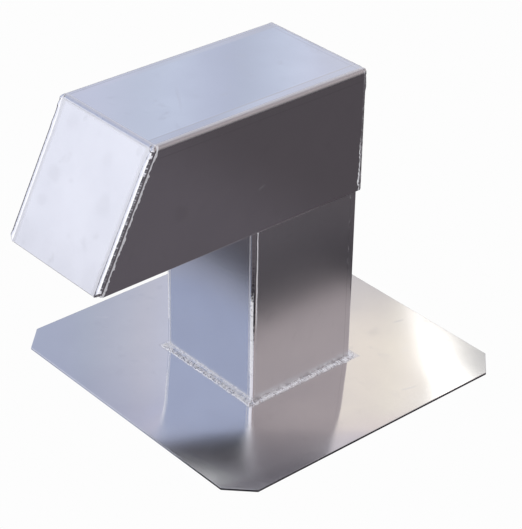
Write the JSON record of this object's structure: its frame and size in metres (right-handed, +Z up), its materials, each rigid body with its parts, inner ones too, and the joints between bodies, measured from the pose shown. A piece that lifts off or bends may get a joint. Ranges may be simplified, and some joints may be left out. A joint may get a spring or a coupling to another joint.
{
  "type": "roof vent pipe",
  "caption": "Square roof vent in folded and welded sheet, with a flange plate and a lift-off hood that is sloped in front and opens downwards.",
  "frame": {"origin": "centre of the square duct at the underside of the roof plate", "axes": "+Z up from the roof, +Y to the rear so that the hood projects towards -Y, +X to the right seen from the front"},
  "size_m": [0.4, 0.4837, 0.372],
  "materials": {
    "plate_sheet": "mill-finish sheet, satin, with faint rolling lines and smudges",
    "riser_sheet": "mill-finish sheet, satin, with faint press-brake marks beside the folds",
    "hood_sheet": "mill-finish sheet, satin, with faint press-brake marks beside the folds",
    "weld_bead": "hand-laid weld bead, bright and rippled"
  },
  "bodies": {
    "riser_base": {"base_plate": "plate_sheet", "riser_shell": "riser_sheet", "riser_front_panel": "riser_sheet", "riser_seam_weld_left": "weld_bead", "riser_seam_weld_right": "weld_bead", "foot_weld_front": "weld_bead", "foot_weld_rear": "weld_bead", "foot_weld_left": "weld_bead", "foot_weld_right": "weld_bead"},
    "hood": {"hood_shell": "hood_sheet", "hood_front_panel": "hood_sheet", "hood_rear_panel": "hood_sheet", "hood_slant_weld_left": "weld_bead", "hood_slant_weld_right": "weld_bead", "hood_brow_weld": "weld_bead", "hood_rear_weld_left": "weld_bead", "hood_rear_weld_right": "weld_bead", "hood_ridge_weld": "weld_bead", "locating_strip": "hood_sheet", "strip_weld_left": "weld_bead", "strip_weld_right": "weld_bead"}
  },
  "joints": [
    {"name": "hood_lift", "type": "slide", "parent": "riser_base", "child": "hood", "axis": [0, 0, 1], "range_m": [0, 0.15]}
  ]
}
